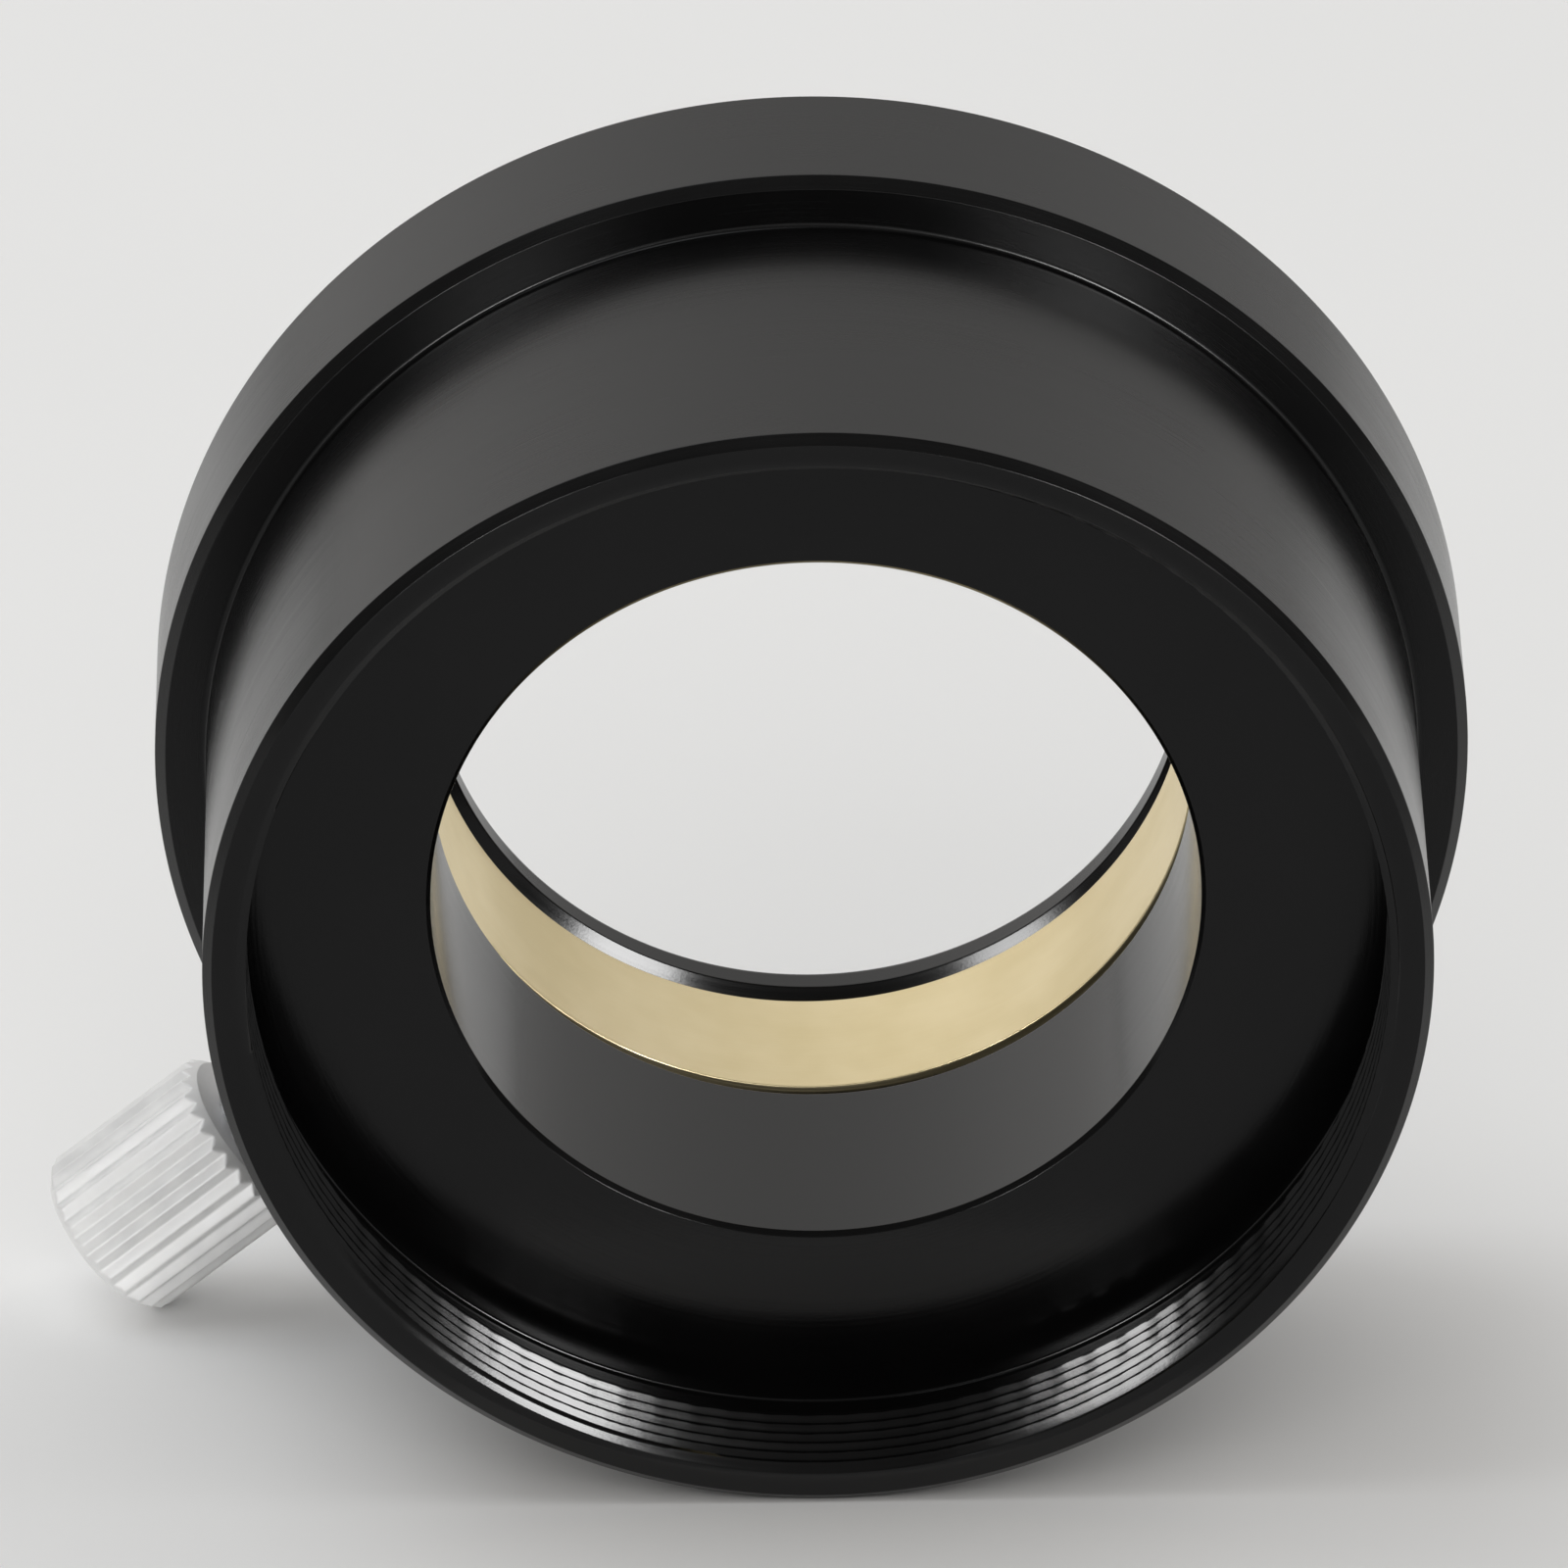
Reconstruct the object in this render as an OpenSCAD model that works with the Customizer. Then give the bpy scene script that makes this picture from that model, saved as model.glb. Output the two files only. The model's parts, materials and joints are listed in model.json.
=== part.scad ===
// Eyepiece adapter for telescopes: a two-inch barrel that carries a smaller eyepiece
// socket, with a split brass compression ring in a groove and a radial thumbscrew.
// The optical axis lies along Y. The mouth of the barrel faces -Y and the eyepiece
// enters from +Y. The origin is on the axis, in the plane of the shoulder that the
// barrel seats against. The thumbscrew points down and to the left, towards -X and -Z.

/* [Barrel] */
// Outside diameter of the barrel
barrel_d = 50.8; // [50.6:0.05:51]
// Length of the barrel, from its mouth to the shoulder
barrel_l = 18.2; // [14:0.1:30]
// Chamfer on the outside of the mouth
mouth_outer_chamfer = 0.4; // [0.1:0.05:0.6]
// Fillet between the barrel and the shoulder
shoulder_fillet = 0.2; // [0.1:0.05:0.8]

/* [Filter thread] */
// Major diameter of the filter thread
filter_d = 48; // [47.5:0.1:48.5]
// Pitch of the filter thread
filter_pitch = 0.75; // [0.5:0.05:1]
// Grooves of the filter thread
filter_turns = 5; // [3:1:6]
// Depth of the filter recess, from the mouth to its floor
recess_depth = 6.3; // [5.5:0.1:9]
// Diameter of the recess behind the thread
relief_d = 48.5; // [48.1:0.1:49]
// Inside diameter of the flat face at the mouth
mouth_d = 48.9; // [48.2:0.1:49.4]
// Depth of the dished edge between that face and the thread
mouth_edge = 0.1; // [0.05:0.05:0.3]

/* [Eyepiece socket] */
// Diameter of the eyepiece bore
socket_d = 32; // [31.8:0.05:32.4]
// Edge break where the bore meets the floor of the recess
floor_edge = 0.2; // [0.1:0.05:0.5]
// Rounding where the bore meets the rear face
rear_round = 0.3; // [0.1:0.05:0.6]

/* [Collar] */
// Outside diameter of the collar
collar_d = 55.2; // [53:0.1:62]
// Length of the collar, from the shoulder to the rear face
collar_l = 9.9; // [9.3:0.1:16]
// Chamfer on the front outer edge of the collar
collar_chamfer = 0.45; // [0.2:0.05:0.8]
// Bevel on the rear outer edge of the collar
rear_bevel = 2.44; // [0.4:0.02:3]

/* [Compression ring] */
// Inside diameter of the relaxed ring
ring_inner_d = 32.4; // [32.1:0.05:32.8]
// Wall of the ring
ring_wall = 0.9; // [0.6:0.05:1.1]
// Width of the ring along the optical axis
ring_w = 7.2; // [5:0.1:7.3]
// Distance of the ring's front edge behind the shoulder
ring_y = 0.35; // [0:0.05:0.4]
// Gap in the ring, opposite the thumbscrew
ring_split = 1.6; // [0.8:0.1:3]
// Edge break on the ring
ring_edge = 0.06; // [0.03:0.01:0.2]
// Diameter of the groove that holds the ring
groove_d = 35; // [34.9:0.1:36]
// Depth of the groove's front wall ahead of the shoulder
groove_ahead = 0.4; // [0.2:0.05:0.6]
// Distance behind the shoulder where the groove's sloped rear wall meets the bore
lip_y = 8.6; // [8.6:0.05:8.9]
// Angle between that sloped wall and the optical axis, in degrees
lip_slope = 60; // [60:1:80]

/* [Thumbscrew] */
// Angle of the thumbscrew below the horizontal, in degrees
screw_angle = 40.1; // [0:0.1:90]
// Distance of the thumbscrew's axis behind the shoulder
screw_y = 3.95; // [3.4:0.05:4]
// Major diameter of the thumbscrew's thread
screw_d = 4; // [3:0.5:4]
// Pitch of the thumbscrew's thread
screw_pitch = 0.7; // [0.5:0.05:0.7]
// Diameter of the knurled head
head_d = 7.9; // [7:0.1:8.4]
// Length of the knurled head
head_l = 8.3; // [6:0.1:10]
// Radius from the optical axis to the head's inner end
head_r = 31.25; // [30.5:0.05:36]
// Ridges of the knurl
knurl_count = 26; // [18:1:32]
// Depth of the knurl
knurl_depth = 0.28; // [0.1:0.01:0.4]
// Chamfer on both ends of the head
head_chamfer = 0.5; // [0.2:0.05:0.9]
// Diameter of the plain point of the thumbscrew
point_d = 3; // [2:0.1:3.1]
// Length of the plain point
point_l = 1.5; // [1:0.1:2.5]

/* [Hidden] */

// Round things are true circles
$fn = 96;
// Radial play of the thumbscrew in its hole
screw_play = 0.06;
// Gap between parts that are screwed or pressed together
seat_gap = 0.02;
// Gap between the turning stud and its point
point_gap = 0.05;
// Height of a cut thread over its pitch
thread_height = 0.5413;
// Length of a thread's flank along its axis over its pitch
flank_share = 5 / 16;
// Depth of the blind hole in the head
head_hole_l = 5.4;
// Overshoot of a cutting solid past the surface it cuts
cut = 1;

barrel_r = barrel_d / 2;
collar_r = collar_d / 2;
socket_r = socket_d / 2;
groove_r = groove_d / 2;
relief_r = relief_d / 2;
mouth_r = mouth_d / 2;
screw_r = screw_d / 2;
head_rad = head_d / 2;
point_r = point_d / 2;
ring_r = ring_inner_d / 2;

// Places along the optical axis, measured from the shoulder
mouth_y = -barrel_l;
floor_y = mouth_y + recess_depth;
groove_y = -groove_ahead;
slope_y = lip_y - (groove_r - socket_r) / tan(lip_slope);

// Places along the thumbscrew, measured from the optical axis
point_in = groove_r;
stud_in = point_in + point_l;
stud_out = head_r + head_hole_l - seat_gap;
hole_out = head_r + head_hole_l;

// Thread root and crest radii, and the start of the first groove of the filter thread
filter_r = filter_d / 2;
filter_minor_r = filter_r - thread_height * filter_pitch;
filter_y = mouth_y + mouth_edge + filter_pitch * flank_share;
stud_root_r = screw_r - thread_height * screw_pitch;

// Points of an arc from one angle to another, in degrees
function arc(centre, r, from, to, steps = 6) =
    [for (i = [0 : steps]) let (t = from + (to - from) * i / steps)
        centre + r * [cos(t), sin(t)]];

// Outline of one thread groove: crest radius, root radius, start and pitch. The flats
// are a quarter of the pitch wide on the side that stays and an eighth at the root.
function groove_points(crest_r, root_r, start, pitch) =
    let (flank = pitch * flank_share)
    [[crest_r, start + pitch / 4],
     [root_r, start + pitch / 4 + flank],
     [root_r, start + pitch * 3 / 8 + flank],
     [crest_r, start + pitch]];

// Points of a thread of several grooves along a wall
function thread_points(crest_r, root_r, start, pitch, turns) =
    [for (i = [0 : turns - 1]) for (p = groove_points(crest_r, root_r, start + i * pitch, pitch)) p];

// Lays a solid of revolution made about Z along the optical axis
module along_axis() {
    rotate([-90, 0, 0])
        children();
}

// Lays a solid made about Z along the thumbscrew, with +Z pointing outwards
module along_screw() {
    translate([0, screw_y, 0])
        rotate([0, -90 - screw_angle, 0])
            children();
}

// The turned aluminium body: barrel, filter recess, eyepiece bore and collar
module adapter_body() {
    color([0.09, 0.09, 0.095])
        difference() {
            along_axis()
                rotate_extrude()
                    polygon(body_outline());
            along_screw()
                cylinder(h = collar_r + cut, r = screw_r + screw_play);
        }
}

function body_outline() = concat(
    [[mouth_r, mouth_y],
     [barrel_r - mouth_outer_chamfer, mouth_y],
     [barrel_r, mouth_y + mouth_outer_chamfer]],
    arc([barrel_r + shoulder_fillet, -shoulder_fillet], shoulder_fillet, 180, 90),
    [[collar_r - collar_chamfer, 0],
     [collar_r, collar_chamfer],
     [collar_r, collar_l - rear_bevel],
     [collar_r - rear_bevel, collar_l]],
    arc([socket_r + rear_round, collar_l - rear_round], rear_round, 90, 180),
    [[socket_r, lip_y],
     [groove_r, slope_y],
     [groove_r, groove_y],
     [socket_r, groove_y],
     [socket_r, floor_y + floor_edge],
     [socket_r + floor_edge, floor_y],
     [relief_r, floor_y],
     [relief_r, filter_y + filter_turns * filter_pitch + filter_pitch / 4],
     [filter_minor_r, filter_y + filter_turns * filter_pitch + filter_pitch / 4]],
    [for (i = [4 * filter_turns - 1 : -1 : 0])
        thread_points(filter_minor_r, filter_r, filter_y, filter_pitch, filter_turns)[i]],
    [[filter_minor_r, filter_y],
     [filter_r, mouth_y + mouth_edge]]);

// The split brass ring that the thumbscrew presses onto the eyepiece
module compression_ring() {
    outer = ring_r + ring_wall;
    color([0.80, 0.70, 0.42])
        difference() {
            translate([0, ring_y, 0])
                along_axis()
                    rotate_extrude()
                        polygon([[ring_r + ring_edge, 0], [outer - ring_edge, 0],
                                 [outer, ring_edge], [outer, ring_w - ring_edge],
                                 [outer - ring_edge, ring_w], [ring_r + ring_edge, ring_w],
                                 [ring_r, ring_w - ring_edge], [ring_r, ring_edge]]);
            along_screw()
                translate([-ring_split / 2, -ring_w, -outer - cut])
                    cube([ring_split, 2 * ring_w, ring_wall + 2 * cut]);
        }
}

// The bright knurled head
module thumbscrew_head() {
    root = head_rad - knurl_depth;
    step = 360 / knurl_count;
    color([0.86, 0.86, 0.87])
        along_screw()
            difference() {
                translate([0, 0, head_r])
                    intersection() {
                        linear_extrude(height = head_l)
                            polygon([for (i = [0 : knurl_count - 1]) for (p =
                                [[head_rad, -0.16], [head_rad, 0.16], [root, 0.44], [root, 0.56]])
                                p[0] * [cos((i + p[1]) * step), sin((i + p[1]) * step)]]);
                        rotate_extrude()
                            polygon([[0, 0], [head_rad - head_chamfer, 0],
                                     [head_rad, head_chamfer], [head_rad, head_l - head_chamfer],
                                     [head_rad - head_chamfer, head_l], [0, head_l]]);
                    }
                translate([0, 0, head_r - cut])
                    cylinder(h = head_hole_l + cut, r = screw_r);
            }
}

// The steel stud: threaded up to the head, plain where the head is pressed on
module thumbscrew_stud() {
    turns = floor((head_r - stud_in - screw_pitch) / screw_pitch);
    play = screw_r - stud_root_r;
    thread_start = stud_in + play;
    color([0.70, 0.71, 0.73])
        along_screw()
            rotate_extrude()
                polygon(concat(
                    [[0, stud_in], [stud_root_r, stud_in], [screw_r, thread_start]],
                    thread_points(screw_r, stud_root_r, thread_start, screw_pitch, turns),
                    [[screw_r, head_r], [screw_r - seat_gap, head_r],
                     [screw_r - seat_gap, stud_out], [0, stud_out]]));
}

// The plain point that meets the brass ring
module thumbscrew_point() {
    edge = 0.3;
    color([0.70, 0.71, 0.73])
        along_screw()
            rotate_extrude()
                polygon([[0, point_in], [point_r - edge, point_in], [point_r, point_in + edge],
                         [point_r, stud_in - point_gap], [0, stud_in - point_gap]]);
}

adapter_body();
compression_ring();
thumbscrew_head();
thumbscrew_stud();
thumbscrew_point();
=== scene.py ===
# Eyepiece adapter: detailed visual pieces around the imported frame.
# Units are metres, in the frame of the CAD model: the optical axis lies along Y, the
# mouth of the barrel faces -Y and the thumbscrew points down and to the left.
import json
import math

import bmesh
import bpy
from mathutils import Matrix, Vector


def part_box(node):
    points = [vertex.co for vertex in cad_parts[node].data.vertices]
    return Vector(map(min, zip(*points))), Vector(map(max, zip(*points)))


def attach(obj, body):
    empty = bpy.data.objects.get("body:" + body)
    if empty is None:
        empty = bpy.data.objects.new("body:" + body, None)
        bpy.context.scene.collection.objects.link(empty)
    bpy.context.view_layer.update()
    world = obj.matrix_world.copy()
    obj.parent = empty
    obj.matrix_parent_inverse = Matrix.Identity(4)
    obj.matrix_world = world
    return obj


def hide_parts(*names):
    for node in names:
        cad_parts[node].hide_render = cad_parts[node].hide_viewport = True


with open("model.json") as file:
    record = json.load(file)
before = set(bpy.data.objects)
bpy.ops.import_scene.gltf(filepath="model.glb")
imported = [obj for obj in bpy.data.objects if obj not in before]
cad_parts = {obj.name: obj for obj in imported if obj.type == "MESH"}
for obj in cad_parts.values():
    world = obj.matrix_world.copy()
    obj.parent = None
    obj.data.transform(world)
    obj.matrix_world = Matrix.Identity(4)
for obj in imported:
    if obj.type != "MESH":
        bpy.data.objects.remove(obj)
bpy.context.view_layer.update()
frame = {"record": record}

MM = 0.001

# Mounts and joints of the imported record
RECORD = frame["record"]
MOUNTS = {mount["name"]: mount for mount in RECORD["mounts"]}
JOINTS = {joint["name"]: joint for joint in RECORD["behaviour"]["joints"]}

# Sizes in millimetres. Those that the frame states are read from it.
BODY_LO, BODY_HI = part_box("adapter_body")
RING_LO, RING_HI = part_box("compression_ring")
BARREL_R = MOUNTS["barrel"]["dims"]["r_mm"]
SOCKET_R = MOUNTS["eyepiece_socket"]["dims"]["r_mm"]
THREAD_MINOR_R = MOUNTS["filter_thread"]["dims"]["r_mm"]
COLLAR_R = BODY_HI.z / MM
MOUTH_Y = BODY_LO.y / MM
REAR_Y = BODY_HI.y / MM
RING_Y0 = RING_LO.y / MM
RING_Y1 = RING_HI.y / MM
SCREW_Y = JOINTS["screw_turn"]["pos_m"][1] / MM
INWARD = Vector(JOINTS["screw_turn"]["axis"]).normalized()

FLANK_SHARE = 5 / 16
THREAD_MAJOR_R = 24.0
THREAD_PITCH = 0.75
THREAD_FLANK = THREAD_PITCH * FLANK_SHARE
THREAD_TURNS = 5
MOUTH_R = 24.45
MOUTH_EDGE = 0.1
DISH_R = 24.27
DISH_DEPTH = 0.012
RELIEF_R = 24.25
RECESS_DEPTH = 6.3
FLOOR_Y = MOUTH_Y + RECESS_DEPTH
GROOVE_R = 17.5
GROOVE_Y = -0.4
SLOPE_Y = 7.734
LIP_Y = 8.6
SOCKET_CHAMFER = 0.2
REAR_BEVEL = 2.44
COLLAR_CHAMFER = 0.45
SHOULDER_FILLET = 0.2
MOUTH_CHAMFER = 0.4

RING_R = 16.2
RING_WALL = 0.9
RING_SPLIT = 1.6
RING_EDGE = 0.05
RING_REST = Vector((-0.145, 0, 0.125))

STUD_R = 2.0
STUD_ROOT_R = 1.621
STUD_PITCH = 0.7
HOLE_R = 2.06
HEAD_R0 = 31.25
HEAD_LENGTH = 8.3
HEAD_RAD = 3.95
KNURLS = 26
KNURL_DEPTH = 0.28
HEAD_CHAMFER = 0.5
POINT_R = 1.5
POINT_BEVEL = 0.3
POINT_IN = 17.5
STUD_IN = 19.0

WELD = 0.0005 * MM
SHARP_DEGREES = 40


# ---------------------------------------------------------------- mesh helpers

def rounded(points, steps=3, hold=0.05):
    """The outline through (a, b, radius) points with each corner rounded to its radius."""
    most = 0.45
    out = []
    count = len(points)
    for i, (a, b, radius) in enumerate(points):
        here = Vector((a, b))
        if not radius or i in (0, count - 1):
            out.append(here)
            continue
        before = Vector(points[i - 1][:2]) - here
        after = Vector(points[i + 1][:2]) - here
        half = before.angle(after) / 2
        reach = min(radius / math.tan(half), most * before.length, most * after.length)
        real = reach * math.tan(half)
        start = here + before.normalized() * reach
        end = here + after.normalized() * reach
        bisector = (before.normalized() + after.normalized()).normalized()
        centre = here + bisector * (real / math.sin(half))
        sweep = (start - centre).angle_signed(end - centre)
        arc = [centre + Matrix.Rotation(-sweep * k / steps, 2) @ (start - centre)
               for k in range(steps + 1)]
        if before.length > reach + 3 * hold:
            out.append(start + before.normalized() * hold)
        out.extend(arc)
        if after.length > reach + 3 * hold:
            out.append(end + after.normalized() * hold)
    return out


def weld(bm):
    """Joins the points that coincide and turns every face outwards."""
    bmesh.ops.remove_doubles(bm, verts=bm.verts, dist=WELD)
    bmesh.ops.recalc_face_normals(bm, faces=bm.faces)


def shade(bm, sharp_degrees):
    """Smooth shading, but for the edges sharper than the angle."""
    limit = math.radians(sharp_degrees)
    for face in bm.faces:
        face.smooth = True
    for edge in bm.edges:
        edge.smooth = edge.calc_face_angle(0.0) < limit


def new_object(name, data):
    """An object of the scene that shows some data."""
    thing = bpy.data.objects.new(name, data)
    bpy.context.scene.collection.objects.link(thing)
    return thing


def new_mesh(name, bm):
    """A mesh from a bmesh, which is freed."""
    mesh = bpy.data.meshes.new(name)
    bm.to_mesh(mesh)
    bm.free()
    return mesh


def make_object(name, bm, material, sharp_degrees=SHARP_DEGREES):
    """An object from a bmesh, welded and shaded."""
    weld(bm)
    shade(bm, sharp_degrees)
    mesh = new_mesh(name, bm)
    mesh.materials.append(material)
    return new_object(name, mesh)


def grid(rows, close=False):
    """A bmesh of quads over rows of points; close joins the last row to the first."""
    bm = bmesh.new()
    made = [[bm.verts.new(p) for p in row] for row in rows]
    pairs = list(zip(made, made[1:]))
    if close:
        pairs.append((made[-1], made[0]))
    for low, high in pairs:
        for k in range(len(low) - 1):
            bm.faces.new((low[k], low[k + 1], high[k + 1], high[k]))
    return bm


def lathe_point(r, y, turn):
    """A point at a radius about the optical axis; turn 0 is up and grows towards -X."""
    return Vector((-r * math.sin(turn), y, r * math.cos(turn))) * MM


def along_screw(a, b, out):
    """A point of the thumbscrew's own frame, whose third axis points outwards."""
    u = -INWARD
    side = Vector((0, 1, 0))
    across = u.cross(side)
    return (Vector((0, SCREW_Y, 0)) + across * a + side * b + u * out) * MM


def turned_on_screw(outline, columns):
    """Rows of points for an outline of (radius, place along) turned about the screw's axis."""
    turns = [2 * math.pi * k / columns for k in range(columns + 1)]
    return [[along_screw(r * math.cos(t), r * math.sin(t), s) for t in turns] for r, s in outline]


# ---------------------------------------------------------------- materials

def new_material(name):
    """A new material, its node tree and its shader."""
    material = bpy.data.materials.new(name)
    material.use_nodes = True
    tree = material.node_tree
    return material, tree, tree.nodes["Principled BSDF"]


def add(tree, kind, inputs=None, **settings):
    """A node with its settings, and inputs that are values or other nodes' outputs."""
    node = tree.nodes.new(kind)
    for key, value in settings.items():
        setattr(node, key, value)
    for key, value in (inputs or {}).items():
        if isinstance(value, bpy.types.NodeSocket):
            tree.links.new(value, node.inputs[key])
        else:
            node.inputs[key].default_value = value
    return node


def ramp(tree, source, low, high, from_min=0.35, from_max=0.65):
    """A number from low to high as the source goes from one value to another."""
    inputs = {"Value": source, "From Min": from_min, "From Max": from_max,
              "To Min": low, "To Max": high}
    return add(tree, "ShaderNodeMapRange", inputs).outputs["Result"]


def mix_colour(tree, factor, a, b):
    """A colour between two, which the mix node takes on its sockets 6 and 7."""
    node = add(tree, "ShaderNodeMix", {"Factor": factor, 6: a, 7: b}, data_type="RGBA")
    return node.outputs[2]


def ring_coordinates(tree):
    """Radius about the optical axis, place along it and the raw object position."""
    position = add(tree, "ShaderNodeTexCoord").outputs["Object"]
    parts = add(tree, "ShaderNodeSeparateXYZ", {"Vector": position})
    flat = add(tree, "ShaderNodeCombineXYZ", {"X": parts.outputs["X"], "Z": parts.outputs["Z"]})
    radius = add(tree, "ShaderNodeVectorMath", {0: flat.outputs["Vector"]}, operation="LENGTH")
    return radius.outputs["Value"], parts.outputs["Y"], position


def turning_lines(tree, per_mm):
    """A signal of fine tool marks that run round the optical axis."""
    radius, along, position = ring_coordinates(tree)
    total = add(tree, "ShaderNodeMath", {0: radius, 1: along}, operation="ADD")
    wobble = add(tree, "ShaderNodeTexNoise", {"Vector": position, "Scale": 60.0, "Detail": 1.0})
    pair = add(tree, "ShaderNodeCombineXYZ", {"X": total.outputs["Value"], "Y": along})
    stretched = add(tree, "ShaderNodeVectorMath", {0: pair.outputs["Vector"], 3: per_mm / MM},
                    operation="SCALE")
    bent = add(tree, "ShaderNodeVectorMath", {0: wobble.outputs["Color"],
                                              1: stretched.outputs["Vector"]}, operation="ADD")
    lines = add(tree, "ShaderNodeTexNoise", {"Vector": bent.outputs["Vector"], "Scale": 1.0,
                                             "Detail": 2.0, "Roughness": 0.6})
    return lines.outputs["Fac"], position


def black_anodised():
    """Satin black anodising over fine turning marks, duller on the outside of the barrel."""
    depth = 0.006 * MM
    material, tree, shader = new_material("black_anodised")
    lines, position = turning_lines(tree, 9.0)
    radius, _, _ = ring_coordinates(tree)
    outside = ramp(tree, radius, 0.165, 0.25, 24.5 * MM, 25.2 * MM)
    marked = add(tree, "ShaderNodeMath", {0: ramp(tree, lines, -0.02, 0.02), 1: outside},
                 operation="ADD")
    grain = add(tree, "ShaderNodeTexNoise", {"Vector": position, "Scale": 9000.0, "Detail": 2.0})
    cloud = add(tree, "ShaderNodeTexNoise", {"Vector": position, "Scale": 140.0, "Detail": 3.0})
    uneven = ramp(tree, cloud.outputs["Fac"], -0.015, 0.02)
    rough = add(tree, "ShaderNodeMath", {0: marked.outputs["Value"], 1: uneven}, operation="ADD")
    tree.links.new(rough.outputs["Value"], shader.inputs["Roughness"])
    colour = mix_colour(tree, ramp(tree, cloud.outputs["Fac"], 0.0, 1.0),
                        (0.0018, 0.0018, 0.0019, 1), (0.0028, 0.0027, 0.0028, 1))
    tree.links.new(colour, shader.inputs["Base Color"])
    marks = add(tree, "ShaderNodeBump", {"Height": lines, "Strength": 0.25, "Distance": depth})
    fine = add(tree, "ShaderNodeBump", {"Height": grain.outputs["Fac"], "Strength": 0.25,
                                        "Distance": depth, "Normal": marks.outputs["Normal"]})
    tree.links.new(fine.outputs["Normal"], shader.inputs["Normal"])
    shader.inputs["IOR"].default_value = 1.43
    return material


def brass():
    """Brass with fine marks that run round the ring."""
    material, tree, shader = new_material("brass")
    lines, position = turning_lines(tree, 14.0)
    cloud = add(tree, "ShaderNodeTexNoise", {"Vector": position, "Scale": 220.0, "Detail": 3.0})
    colour = mix_colour(tree, ramp(tree, cloud.outputs["Fac"], 0.0, 1.0),
                        (0.86, 0.725, 0.43, 1), (0.94, 0.805, 0.51, 1))
    tree.links.new(colour, shader.inputs["Base Color"])
    tree.links.new(ramp(tree, lines, 0.34, 0.44), shader.inputs["Roughness"])
    marks = add(tree, "ShaderNodeBump", {"Height": lines, "Strength": 0.4, "Distance": 0.02 * MM})
    tree.links.new(marks.outputs["Normal"], shader.inputs["Normal"])
    shader.inputs["Metallic"].default_value = 1.0
    return material


def screw_coordinates(tree):
    """Radius about the thumbscrew's axis, place along it and the object position."""
    position = add(tree, "ShaderNodeTexCoord").outputs["Object"]
    centred = add(tree, "ShaderNodeVectorMath", {0: position, 1: (0, SCREW_Y * MM, 0)},
                  operation="SUBTRACT")
    along = add(tree, "ShaderNodeVectorMath", {0: centred.outputs["Vector"], 1: -INWARD},
                operation="DOT_PRODUCT")
    foot = add(tree, "ShaderNodeVectorMath", {0: -INWARD, 3: along.outputs["Value"]},
               operation="SCALE")
    off = add(tree, "ShaderNodeVectorMath", {0: centred.outputs["Vector"], 1: foot.outputs["Vector"]},
              operation="DISTANCE")
    return off.outputs["Value"], along.outputs["Value"], position


def bright_aluminium():
    """Bright turned aluminium, with fine rings on its end faces and small handling marks."""
    material, tree, shader = new_material("bright_aluminium")
    radius, along, position = screw_coordinates(tree)
    cloud = add(tree, "ShaderNodeTexNoise", {"Vector": position, "Scale": 700.0, "Detail": 4.0})
    grain = add(tree, "ShaderNodeTexNoise", {"Vector": position, "Scale": 9000.0, "Detail": 2.0})
    rings = add(tree, "ShaderNodeCombineXYZ", {"X": radius, "Y": along})
    lines = add(tree, "ShaderNodeTexNoise", {"Vector": rings.outputs["Vector"], "Scale": 16000.0,
                                             "Detail": 2.0})
    colour = mix_colour(tree, ramp(tree, cloud.outputs["Fac"], 0.0, 1.0),
                        (0.86, 0.86, 0.86, 1), (0.92, 0.92, 0.915, 1))
    tree.links.new(colour, shader.inputs["Base Color"])
    tree.links.new(ramp(tree, cloud.outputs["Fac"], 0.60, 0.70), shader.inputs["Roughness"])
    marks = add(tree, "ShaderNodeBump", {"Height": lines.outputs["Fac"], "Strength": 0.25,
                                         "Distance": 0.004 * MM})
    fine = add(tree, "ShaderNodeBump", {"Height": grain.outputs["Fac"], "Strength": 0.3,
                                        "Distance": 0.006 * MM, "Normal": marks.outputs["Normal"]})
    tree.links.new(fine.outputs["Normal"], shader.inputs["Normal"])
    shader.inputs["Metallic"].default_value = 0.78
    return material


def screw_steel():
    """Plated steel with slightly dull patches."""
    material, tree, shader = new_material("screw_steel")
    position = add(tree, "ShaderNodeTexCoord").outputs["Object"]
    cloud = add(tree, "ShaderNodeTexNoise", {"Vector": position, "Scale": 1400.0, "Detail": 4.0})
    colour = mix_colour(tree, ramp(tree, cloud.outputs["Fac"], 0.0, 1.0),
                        (0.58, 0.58, 0.60, 1), (0.70, 0.70, 0.71, 1))
    tree.links.new(colour, shader.inputs["Base Color"])
    tree.links.new(ramp(tree, cloud.outputs["Fac"], 0.22, 0.36), shader.inputs["Roughness"])
    marks = add(tree, "ShaderNodeBump", {"Height": cloud.outputs["Fac"], "Strength": 0.2,
                                         "Distance": 0.01 * MM})
    tree.links.new(marks.outputs["Normal"], shader.inputs["Normal"])
    shader.inputs["Metallic"].default_value = 1.0
    return material


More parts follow.
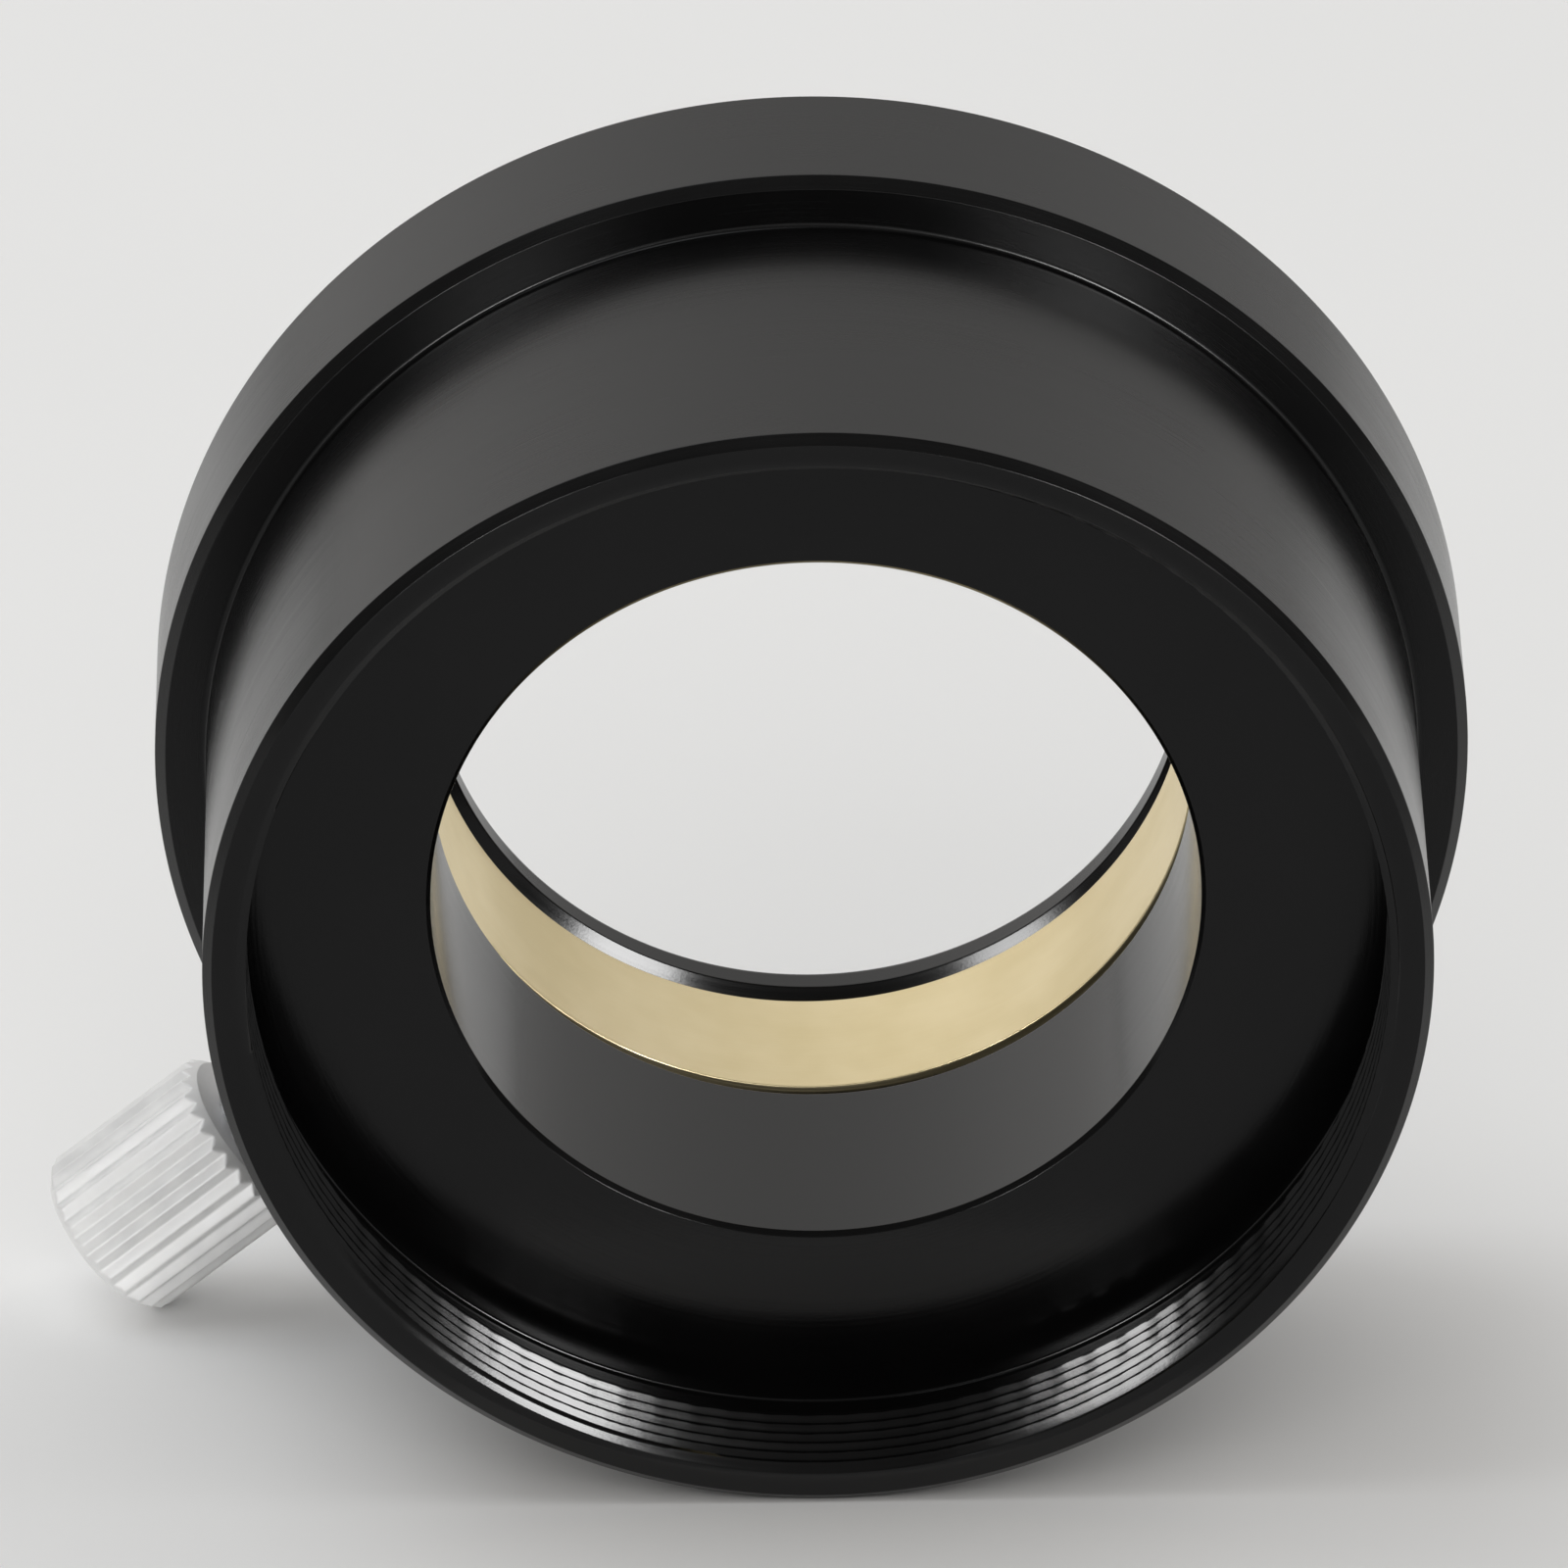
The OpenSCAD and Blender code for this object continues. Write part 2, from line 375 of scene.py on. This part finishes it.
def floor_paper():
    """Plain pale matt floor."""
    material, tree, shader = new_material("floor_paper")
    position = add(tree, "ShaderNodeTexCoord").outputs["Object"]
    cloud = add(tree, "ShaderNodeTexNoise", {"Vector": position, "Scale": 20.0, "Detail": 2.0})
    colour = mix_colour(tree, ramp(tree, cloud.outputs["Fac"], 0.0, 1.0),
                        (0.790, 0.795, 0.800, 1), (0.800, 0.805, 0.810, 1))
    tree.links.new(colour, shader.inputs["Base Color"])
    shader.inputs["Roughness"].default_value = 0.9
    shader.inputs["Specular IOR Level"].default_value = 0.1
    return material


# ---------------------------------------------------------------- the body

BODY_COLUMNS = 480
THREAD_FRONT_Y = MOUTH_Y + MOUTH_EDGE
THREAD_END_Y = THREAD_FRONT_Y + THREAD_FLANK + (THREAD_TURNS + 0.25) * THREAD_PITCH
THREAD_PHASE = THREAD_FLANK - THREAD_PITCH / 2
CREST_ROUND = 0.035
CORNER_SHARE = 0.3
EDGE_HOLD = 0.012


def groove_outline():
    """(place along the pitch, radius) of one thread groove, from crest to crest."""
    flank = THREAD_FLANK
    quarter = THREAD_PITCH / 4
    eighth = THREAD_PITCH / 8
    e = CREST_ROUND
    side = e * (THREAD_MAJOR_R - THREAD_MINOR_R) / flank
    corner = CORNER_SHARE * side
    return [(0.0, THREAD_MINOR_R), (quarter - e, THREAD_MINOR_R),
            (quarter, THREAD_MINOR_R + corner), (quarter + e, THREAD_MINOR_R + side),
            (quarter + flank - e, THREAD_MAJOR_R - side),
            (quarter + flank, THREAD_MAJOR_R - corner),
            (quarter + flank + e, THREAD_MAJOR_R),
            (quarter + flank + eighth - e, THREAD_MAJOR_R),
            (quarter + flank + eighth, THREAD_MAJOR_R - corner),
            (quarter + flank + eighth + e, THREAD_MAJOR_R - side),
            (THREAD_PITCH - e, THREAD_MINOR_R + side), (THREAD_PITCH, THREAD_MINOR_R + corner)]


def groove_radius(outline, place):
    """Radius of the thread at a place along its pitch."""
    place = place % THREAD_PITCH
    ends = outline + [(THREAD_PITCH + outline[0][0], outline[0][1])]
    for (p, r), (q, s) in zip(ends, ends[1:]):
        if p <= place <= q:
            return r + (s - r) * (place - p) / (q - p) if q > p else r
    return outline[-1][1]


def thread_rows(columns):
    """Rows of the helical filter thread, each running round with the pitch."""
    outline = groove_outline()
    turns = math.ceil((THREAD_END_Y - THREAD_FRONT_Y) / THREAD_PITCH) + 2
    rows = []
    for turn in range(turns):
        for place, _ in outline:
            start = THREAD_FRONT_Y + THREAD_PHASE + (turn - 1) * THREAD_PITCH + place
            row = []
            for k in range(columns + 1):
                angle = 2 * math.pi * k / columns
                y = start + THREAD_PITCH * k / columns
                y = min(max(y, THREAD_FRONT_Y + EDGE_HOLD), THREAD_END_Y)
                ahead = y - THREAD_FRONT_Y
                helix = groove_radius(outline, ahead - THREAD_PHASE - THREAD_PITCH * k / columns)
                lead_in = THREAD_MAJOR_R - ahead * (THREAD_MAJOR_R - THREAD_MINOR_R) / THREAD_FLANK
                row.append(lathe_point(max(helix, lead_in), y, angle))
            rows.append(row)
    return rows


def body_front():
    """Outline from the mouth's dished edge round the outside to the relief behind the thread."""
    fine = 0.05
    dish = (MOUTH_EDGE - DISH_DEPTH) / (DISH_R - THREAD_MAJOR_R)
    return rounded([
        (THREAD_MAJOR_R, THREAD_FRONT_Y, 0),
        (THREAD_MAJOR_R + EDGE_HOLD, THREAD_FRONT_Y - EDGE_HOLD * dish, 0),
        (DISH_R, MOUTH_Y + DISH_DEPTH, 0), (MOUTH_R, MOUTH_Y, 0.5),
        (BARREL_R - MOUTH_CHAMFER, MOUTH_Y, fine), (BARREL_R, MOUTH_Y + MOUTH_CHAMFER, fine),
        (BARREL_R, 0, SHOULDER_FILLET), (COLLAR_R - COLLAR_CHAMFER, 0, fine),
        (COLLAR_R, COLLAR_CHAMFER, fine), (COLLAR_R, REAR_Y - REAR_BEVEL, 0.12),
        (COLLAR_R - REAR_BEVEL, REAR_Y, 0.12), (SOCKET_R, REAR_Y, 0.3),
        (SOCKET_R, LIP_Y, 0.06), (GROOVE_R, SLOPE_Y, 0.1), (GROOVE_R, GROOVE_Y, 0.1),
        (SOCKET_R, GROOVE_Y, fine), (SOCKET_R, FLOOR_Y + SOCKET_CHAMFER, 0.04),
        (SOCKET_R + SOCKET_CHAMFER, FLOOR_Y, 0.04), (RELIEF_R, FLOOR_Y, 0.15),
        (RELIEF_R, THREAD_END_Y, 0)], steps=4)


def adapter_body(material):
    """The turned body: one lathe whose outline closes through the helical thread."""
    turns = [2 * math.pi * k / BODY_COLUMNS for k in range(BODY_COLUMNS + 1)]
    rows = [[lathe_point(point.x, point.y, turn) for turn in turns] for point in body_front()]
    rows.extend(reversed(thread_rows(BODY_COLUMNS)))
    piece = make_object("body_turned", grid(rows, close=True), material)
    drill(piece)
    return piece


def drill(piece):
    """Cuts the countersunk radial hole of the thumbscrew."""
    columns = 96
    inside = GROOVE_R - 1.5
    outside = COLLAR_R + 0.55
    flare = 1.0
    outline = [(0.0, inside), (HOLE_R, inside), (HOLE_R, outside - flare),
               (HOLE_R + flare, outside), (0.0, outside)]
    bm = grid(turned_on_screw(outline, columns))
    weld(bm)
    cutter_mesh = new_mesh("drill", bm)
    cutter = new_object("drill", cutter_mesh)
    cut = piece.modifiers.new("drill", "BOOLEAN")
    cut.operation = "DIFFERENCE"
    cut.solver = "EXACT"
    cut.object = cutter
    bake_modifiers(piece)
    bpy.data.objects.remove(cutter)
    bpy.data.meshes.remove(cutter_mesh)


def bake_modifiers(piece):
    """Replaces the mesh by its modified form and marks its sharp edges again."""
    graph = bpy.context.evaluated_depsgraph_get()
    graph.update()
    mesh = bpy.data.meshes.new_from_object(piece.evaluated_get(graph), depsgraph=graph)
    piece.modifiers.clear()
    old = piece.data
    piece.data = mesh
    mesh.name = piece.name
    bpy.data.meshes.remove(old)
    bm = bmesh.new()
    bm.from_mesh(mesh)
    shade(bm, SHARP_DEGREES)
    bm.to_mesh(mesh)
    bm.free()


# ---------------------------------------------------------------- the compression ring

def compression_ring(material):
    """The split brass ring, a bent strip with rounded edges and square ends."""
    outer = RING_R + RING_WALL
    edge = RING_EDGE
    seam_y = 4.0
    seam = (RING_R, seam_y, 0)
    section = rounded([seam, (RING_R, RING_Y1, edge), (outer, RING_Y1, edge),
                       (outer, RING_Y0, edge), (RING_R, RING_Y0, edge), seam])
    split_at = math.atan2(-INWARD.x, INWARD.z)
    half = math.asin(RING_SPLIT / 2 / (RING_R + RING_WALL / 2))
    columns = 360
    rows = []
    for k in range(columns + 1):
        turn = split_at + half + (2 * math.pi - 2 * half) * k / columns
        rows.append([lathe_point(p.x, p.y, turn) + RING_REST * MM for p in section])
    bm = grid(rows)
    bmesh.ops.remove_doubles(bm, verts=bm.verts, dist=WELD)
    bmesh.ops.holes_fill(bm, edges=[e for e in bm.edges if e.is_boundary], sides=0)
    return make_object("ring_brass", bm, material)


# ---------------------------------------------------------------- the thumbscrew

KNURL_PHASES = (0.0, 0.05, 0.10, 0.26, 0.42, 0.46, 0.5, 0.54, 0.58, 0.74, 0.90, 0.95)


def knurl_depth(phase):
    """Depth below the crests at a phase of one ridge: V-shaped, rounded at crest and root."""
    away = abs(phase - 0.5) * 2
    soft = 0.16
    if away < soft:
        height = away * away / (2 * soft)
    elif away > 1 - soft:
        height = 1 - soft - (1 - away) ** 2 / (2 * soft)
    else:
        height = away - soft / 2
    return KNURL_DEPTH * height / (1 - soft)


def thumbscrew_head(material):
    """The knurled knob: a straight V knurl that runs out in a chamfer at both ends."""
    top = HEAD_LENGTH
    c = HEAD_CHAMFER
    steps = 8
    hold = 0.02
    apart = 0.01
    inner = [(HEAD_RAD - c + c * k / steps, c * k / steps) for k in range(1, steps)]
    face = rounded([(0.0, 0.0, 0), (HEAD_RAD - c, 0.0, 0.06), (HEAD_RAD, c, 0)], steps=3)[:-1]
    outline = [(p.x, p.y) for p in face]
    outline += [p for p in inner if p[1] > face[-1].y + apart]
    outline += [(HEAD_RAD - hold, c - hold), (HEAD_RAD, c + 0.03), (HEAD_RAD, c + 0.12)]
    outline += [(r, top - s) for r, s in reversed(outline)]
    rows = []
    for radius, s in outline:
        row = []
        for ridge in range(KNURLS):
            for phase in KNURL_PHASES:
                t = 2 * math.pi * (ridge + phase) / KNURLS
                r = min(radius, HEAD_RAD - knurl_depth(phase))
                row.append(along_screw(r * math.cos(t), r * math.sin(t), HEAD_R0 + s))
        row.append(row[0])
        rows.append(row)
    return make_object("knob_knurled", grid(rows), material, 50)


def thumbscrew_stud(material):
    """The stud with its helical thread and a plain neck under the knob."""
    columns = 72
    flank = STUD_PITCH * FLANK_SHARE
    eighth = STUD_PITCH / 8
    profile = [(0.0, STUD_R), (eighth, STUD_R), (eighth + flank, STUD_ROOT_R),
               (eighth + flank + STUD_PITCH / 4, STUD_ROOT_R)]
    bevel = 0.05
    fade_length = 0.4
    low = STUD_IN + bevel
    start = STUD_IN + 0.35
    end = HEAD_R0 - 0.3
    in_head = HEAD_R0 + 2.0
    rows = [[(STUD_IN, 0.0)] * (columns + 1), [(STUD_IN, STUD_ROOT_R - bevel)] * (columns + 1)]
    turns = math.ceil((end - start) / STUD_PITCH) + 3
    for turn in range(turns):
        for place, radius in profile:
            row = []
            for k in range(columns + 1):
                s = start + (turn - 2) * STUD_PITCH + place + STUD_PITCH * k / columns
                s = min(max(s, low), end)
                fade = min(1.0, (s - low) / fade_length)
                r = STUD_ROOT_R + (radius - STUD_ROOT_R) * fade if s < end else STUD_R
                row.append((s, r))
            rows.append(row)
    for s, r in ((end, STUD_R), (in_head, STUD_R), (in_head, 0.0)):
        rows.append([(s, r)] * (columns + 1))
    angles = [2 * math.pi * k / columns for k in range(columns + 1)]
    points = [[along_screw(r * math.cos(t), r * math.sin(t), s) for (s, r), t in zip(row, angles)]
              for row in rows]
    return make_object("stud_threaded", grid(points), material)


def thumbscrew_point(material):
    """The plain turned point that presses on the ring."""
    columns = 72
    back = STUD_IN - 0.05
    outline = rounded([(0.0, POINT_IN, 0), (POINT_R - POINT_BEVEL, POINT_IN, 0.06),
                       (POINT_R, POINT_IN + POINT_BEVEL, 0.06), (POINT_R, back, 0.03),
                       (0.0, back, 0)])
    return make_object("stud_point", grid(turned_on_screw(outline, columns)), material)


# ---------------------------------------------------------------- stage

ROLL_STEP = 0.05
ROLL_STEPS = 400
FLOOR_HALF = 6.0
FLOOR_GAP = 0.02 * MM
ROOM_BACK = 0.62
ROOM_FRONT = 0.11
CARD_RADIANCE = 0.36
CARD_LIFT = 0.3
LAMP_DISTANCE = 1.2
WHITE = (1.0, 1.0, 1.0)
WARM = (1.0, 0.975, 0.94)
COOL = (0.93, 0.965, 1.0)
CAMERA_LENS = 450.0
CAMERA_AZIMUTH = -0.8
CAMERA_ELEVATION = 29.62
CAMERA_DISTANCE = 808.03
CAMERA_AIM = Vector((0, -17.8, 0))
CAMERA_RIGHT = -1.415
CAMERA_UP = 7.825


def resting_plane():
    """Normal and distance of the floor that touches the mouth's rim, the collar and the knob."""
    rim = Vector((BARREL_R, MOUTH_Y + MOUTH_CHAMFER))
    collar = Vector((COLLAR_R, COLLAR_CHAMFER))
    lean = math.atan((collar.x - rim.x) / (collar.y - rim.y))
    reach = rim.x * math.cos(lean) - rim.y * math.sin(lean)
    out = -INWARD
    best = None
    for step in range(-ROLL_STEPS, ROLL_STEPS + 1):
        roll = math.radians(step * ROLL_STEP)
        up = Vector((math.cos(lean) * math.sin(roll), math.sin(lean),
                     math.cos(lean) * math.cos(roll)))
        low = 0
        for s in (HEAD_R0 + HEAD_CHAMFER, HEAD_R0 + HEAD_LENGTH - HEAD_CHAMFER):
            centre = Vector((0, SCREW_Y, 0)) + out * s
            low = max(low, -up.dot(centre) + HEAD_RAD * math.sqrt(1 - up.dot(out) ** 2))
        if best is None or abs(low - reach) < best[0]:
            best = (abs(low - reach), up)
    return best[1], reach * MM


def build_floor(material):
    """A plain floor in the plane that the part rests on."""
    normal, reach = resting_plane()
    across = normal.cross(Vector((0, 1, 0))).normalized()
    ahead = across.cross(normal)
    centre = -normal * (reach + FLOOR_GAP)
    bm = bmesh.new()
    corners = [centre + across * (sx * FLOOR_HALF) + ahead * (sy * FLOOR_HALF)
               for sx, sy in ((-1, -1), (1, -1), (1, 1), (-1, 1))]
    bm.faces.new([bm.verts.new(c) for c in corners])
    mesh = new_mesh("floor", bm)
    mesh.materials.append(material)
    floor = new_object("floor", mesh)


def lamp(name, direction, half_angle, radiance, colour):
    """A round lamp that faces the object, set by how wide and how bright its face looks."""
    size = 2 * LAMP_DISTANCE * math.tan(math.radians(half_angle))
    data = bpy.data.lights.new(name, "AREA")
    data.shape = "DISK"
    data.size = size
    data.energy = radiance * math.pi * math.pi * (size / 2) ** 2
    data.color = colour
    light = new_object(name, data)
    way = Vector(direction).normalized()
    light.location = way * LAMP_DISTANCE
    light.rotation_mode = "QUATERNION"
    light.rotation_quaternion = way.to_track_quat("Z", "Y")
    return light


def build_world():
    """A pale backdrop behind the object that fades to a dim room in front of it."""
    world = bpy.data.worlds.new("studio")
    world.use_nodes = True
    tree = world.node_tree
    direction = add(tree, "ShaderNodeTexCoord").outputs["Generated"]
    parts = add(tree, "ShaderNodeSeparateXYZ", {"Vector": direction})
    normal, _ = resting_plane()
    height = add(tree, "ShaderNodeVectorMath", {0: direction, 1: normal}, operation="DOT_PRODUCT")
    side = ramp(tree, parts.outputs["X"], 1.18, 0.82, -0.5, 0.5)
    low = ramp(tree, height.outputs["Value"], 0.86, 1.0, 0.16, 0.38)
    behind = add(tree, "ShaderNodeMapRange", {"Value": parts.outputs["Y"], "From Max": 0.60},
                 interpolation_type="SMOOTHSTEP")
    wall = add(tree, "ShaderNodeMath", {0: side, 1: low}, operation="MULTIPLY")
    lit = add(tree, "ShaderNodeMath", {0: wall.outputs["Value"], 1: behind.outputs["Result"]},
              operation="MULTIPLY")
    total = add(tree, "ShaderNodeMath", {0: lit.outputs["Value"], 1: ROOM_BACK, 2: ROOM_FRONT},
                operation="MULTIPLY_ADD")
    back = tree.nodes["Background"]
    back.inputs["Color"].default_value = (1.0, 0.985, 0.965, 1)
    tree.links.new(total.outputs["Value"], back.inputs["Strength"])
    bpy.context.scene.world = world


def flag_card(material):
    """A glowing grey sheet on the floor in front, out of view, that only reflections show: a painted
    reflection of a dim floor in front of the part.
    """
    normal, reach = resting_plane()
    near = -26.0
    far = -700.0
    half = 500.0
    bm = bmesh.new()
    corners = []
    for x, y in ((-half, far), (half, far), (half, near), (-half, near)):
        z = (-(reach / MM) - normal.x * x - normal.y * y) / normal.z
        corners.append(bm.verts.new(Vector((x, y, z + CARD_LIFT)) * MM))
    bm.faces.new(corners)
    mesh = new_mesh("flag_card", bm)
    mesh.materials.append(material)
    card = new_object("flag_card", mesh)
    card.visible_camera = False
    card.visible_diffuse = False
    card.visible_shadow = False


def card_grey():
    """An even grey glow, a painted reflection of a dim floor in front of the part."""
    material = bpy.data.materials.new("card_grey")
    material.use_nodes = True
    tree = material.node_tree
    tree.nodes.remove(tree.nodes["Principled BSDF"])
    # painted reflection: this glow stands in for the dim floor that the black faces reflect
    glow = add(tree, "ShaderNodeEmission", {"Color": (1, 1, 1, 1), "Strength": CARD_RADIANCE})
    tree.links.new(glow.outputs["Emission"], tree.nodes["Material Output"].inputs["Surface"])
    return material


def build_lights():
    """Two front lamps that only reflections show, a softbox, and fills that reflections miss."""
    build_world()
    glints = [lamp("lamp_right", (0.476, -0.795, 0.36), 8.6, 25.0, WHITE),
              lamp("lamp_left", (-0.485, -0.814, 0.31), 7.0, 19.0, WHITE)]
    for glint in glints:
        glint.visible_diffuse = False
    lamp("softbox", (-0.38, 0.12, 0.92), 20.0, 1.6, COOL)
    fills = [lamp("fill_top", (-0.06, -0.45, 0.89), 30.0, 0.82, WARM),
             lamp("fill_right", (0.80, 0.30, 0.52), 35.0, 0.80, WARM),
             lamp("fill_left", (-0.80, 0.30, 0.52), 35.0, 0.62, WARM),
             lamp("fill_low", (-0.10, -0.93, 0.36), 34.0, 1.05, WARM)]
    for fill in fills:
        fill.visible_glossy = False


def build_camera():
    """A long lens that looks into the mouth from in front and above."""
    azimuth = math.radians(CAMERA_AZIMUTH)
    elevation = math.radians(CAMERA_ELEVATION)
    right = Vector((math.cos(azimuth), math.sin(azimuth), 0))
    up = Vector((-math.sin(azimuth) * math.sin(elevation),
                 math.cos(azimuth) * math.sin(elevation), math.cos(elevation)))
    back = Vector((math.sin(azimuth) * math.cos(elevation),
                   -math.cos(azimuth) * math.cos(elevation), math.sin(elevation)))
    offset = right * CAMERA_RIGHT + up * CAMERA_UP + back * CAMERA_DISTANCE
    data = bpy.data.cameras.new("camera")
    data.sensor_width = 36.0
    data.lens = CAMERA_LENS
    data.clip_start = 0.05
    data.clip_end = 60.0
    camera = new_object("camera", data)
    camera.location = (CAMERA_AIM + offset) * MM
    camera.rotation_mode = "QUATERNION"
    camera.rotation_quaternion = Matrix((right, up, back)).transposed().to_quaternion()
    bpy.context.scene.camera = camera


# ---------------------------------------------------------------- assembly

def place(piece, body, node, slot):
    """Ties a piece to its body and hides the CAD node that it replaces. The slot, its finish, is not
    used.
    """
    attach(piece, body)
    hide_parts(node)


bpy.context.scene.view_settings.view_transform = "Standard"
build_camera()
build_floor(floor_paper())
flag_card(card_grey())
build_lights()

anodised = black_anodised()
steel = screw_steel()
place(adapter_body(anodised), "adapter", "adapter_body", "black_anodised")
place(compression_ring(brass()), "compression_ring", "compression_ring", "brass")
place(thumbscrew_head(bright_aluminium()), "thumbscrew", "thumbscrew_head", "bright_aluminium")
place(thumbscrew_stud(steel), "thumbscrew", "thumbscrew_stud", "screw_steel")
place(thumbscrew_point(steel), "screw_travel", "thumbscrew_point", "screw_steel")
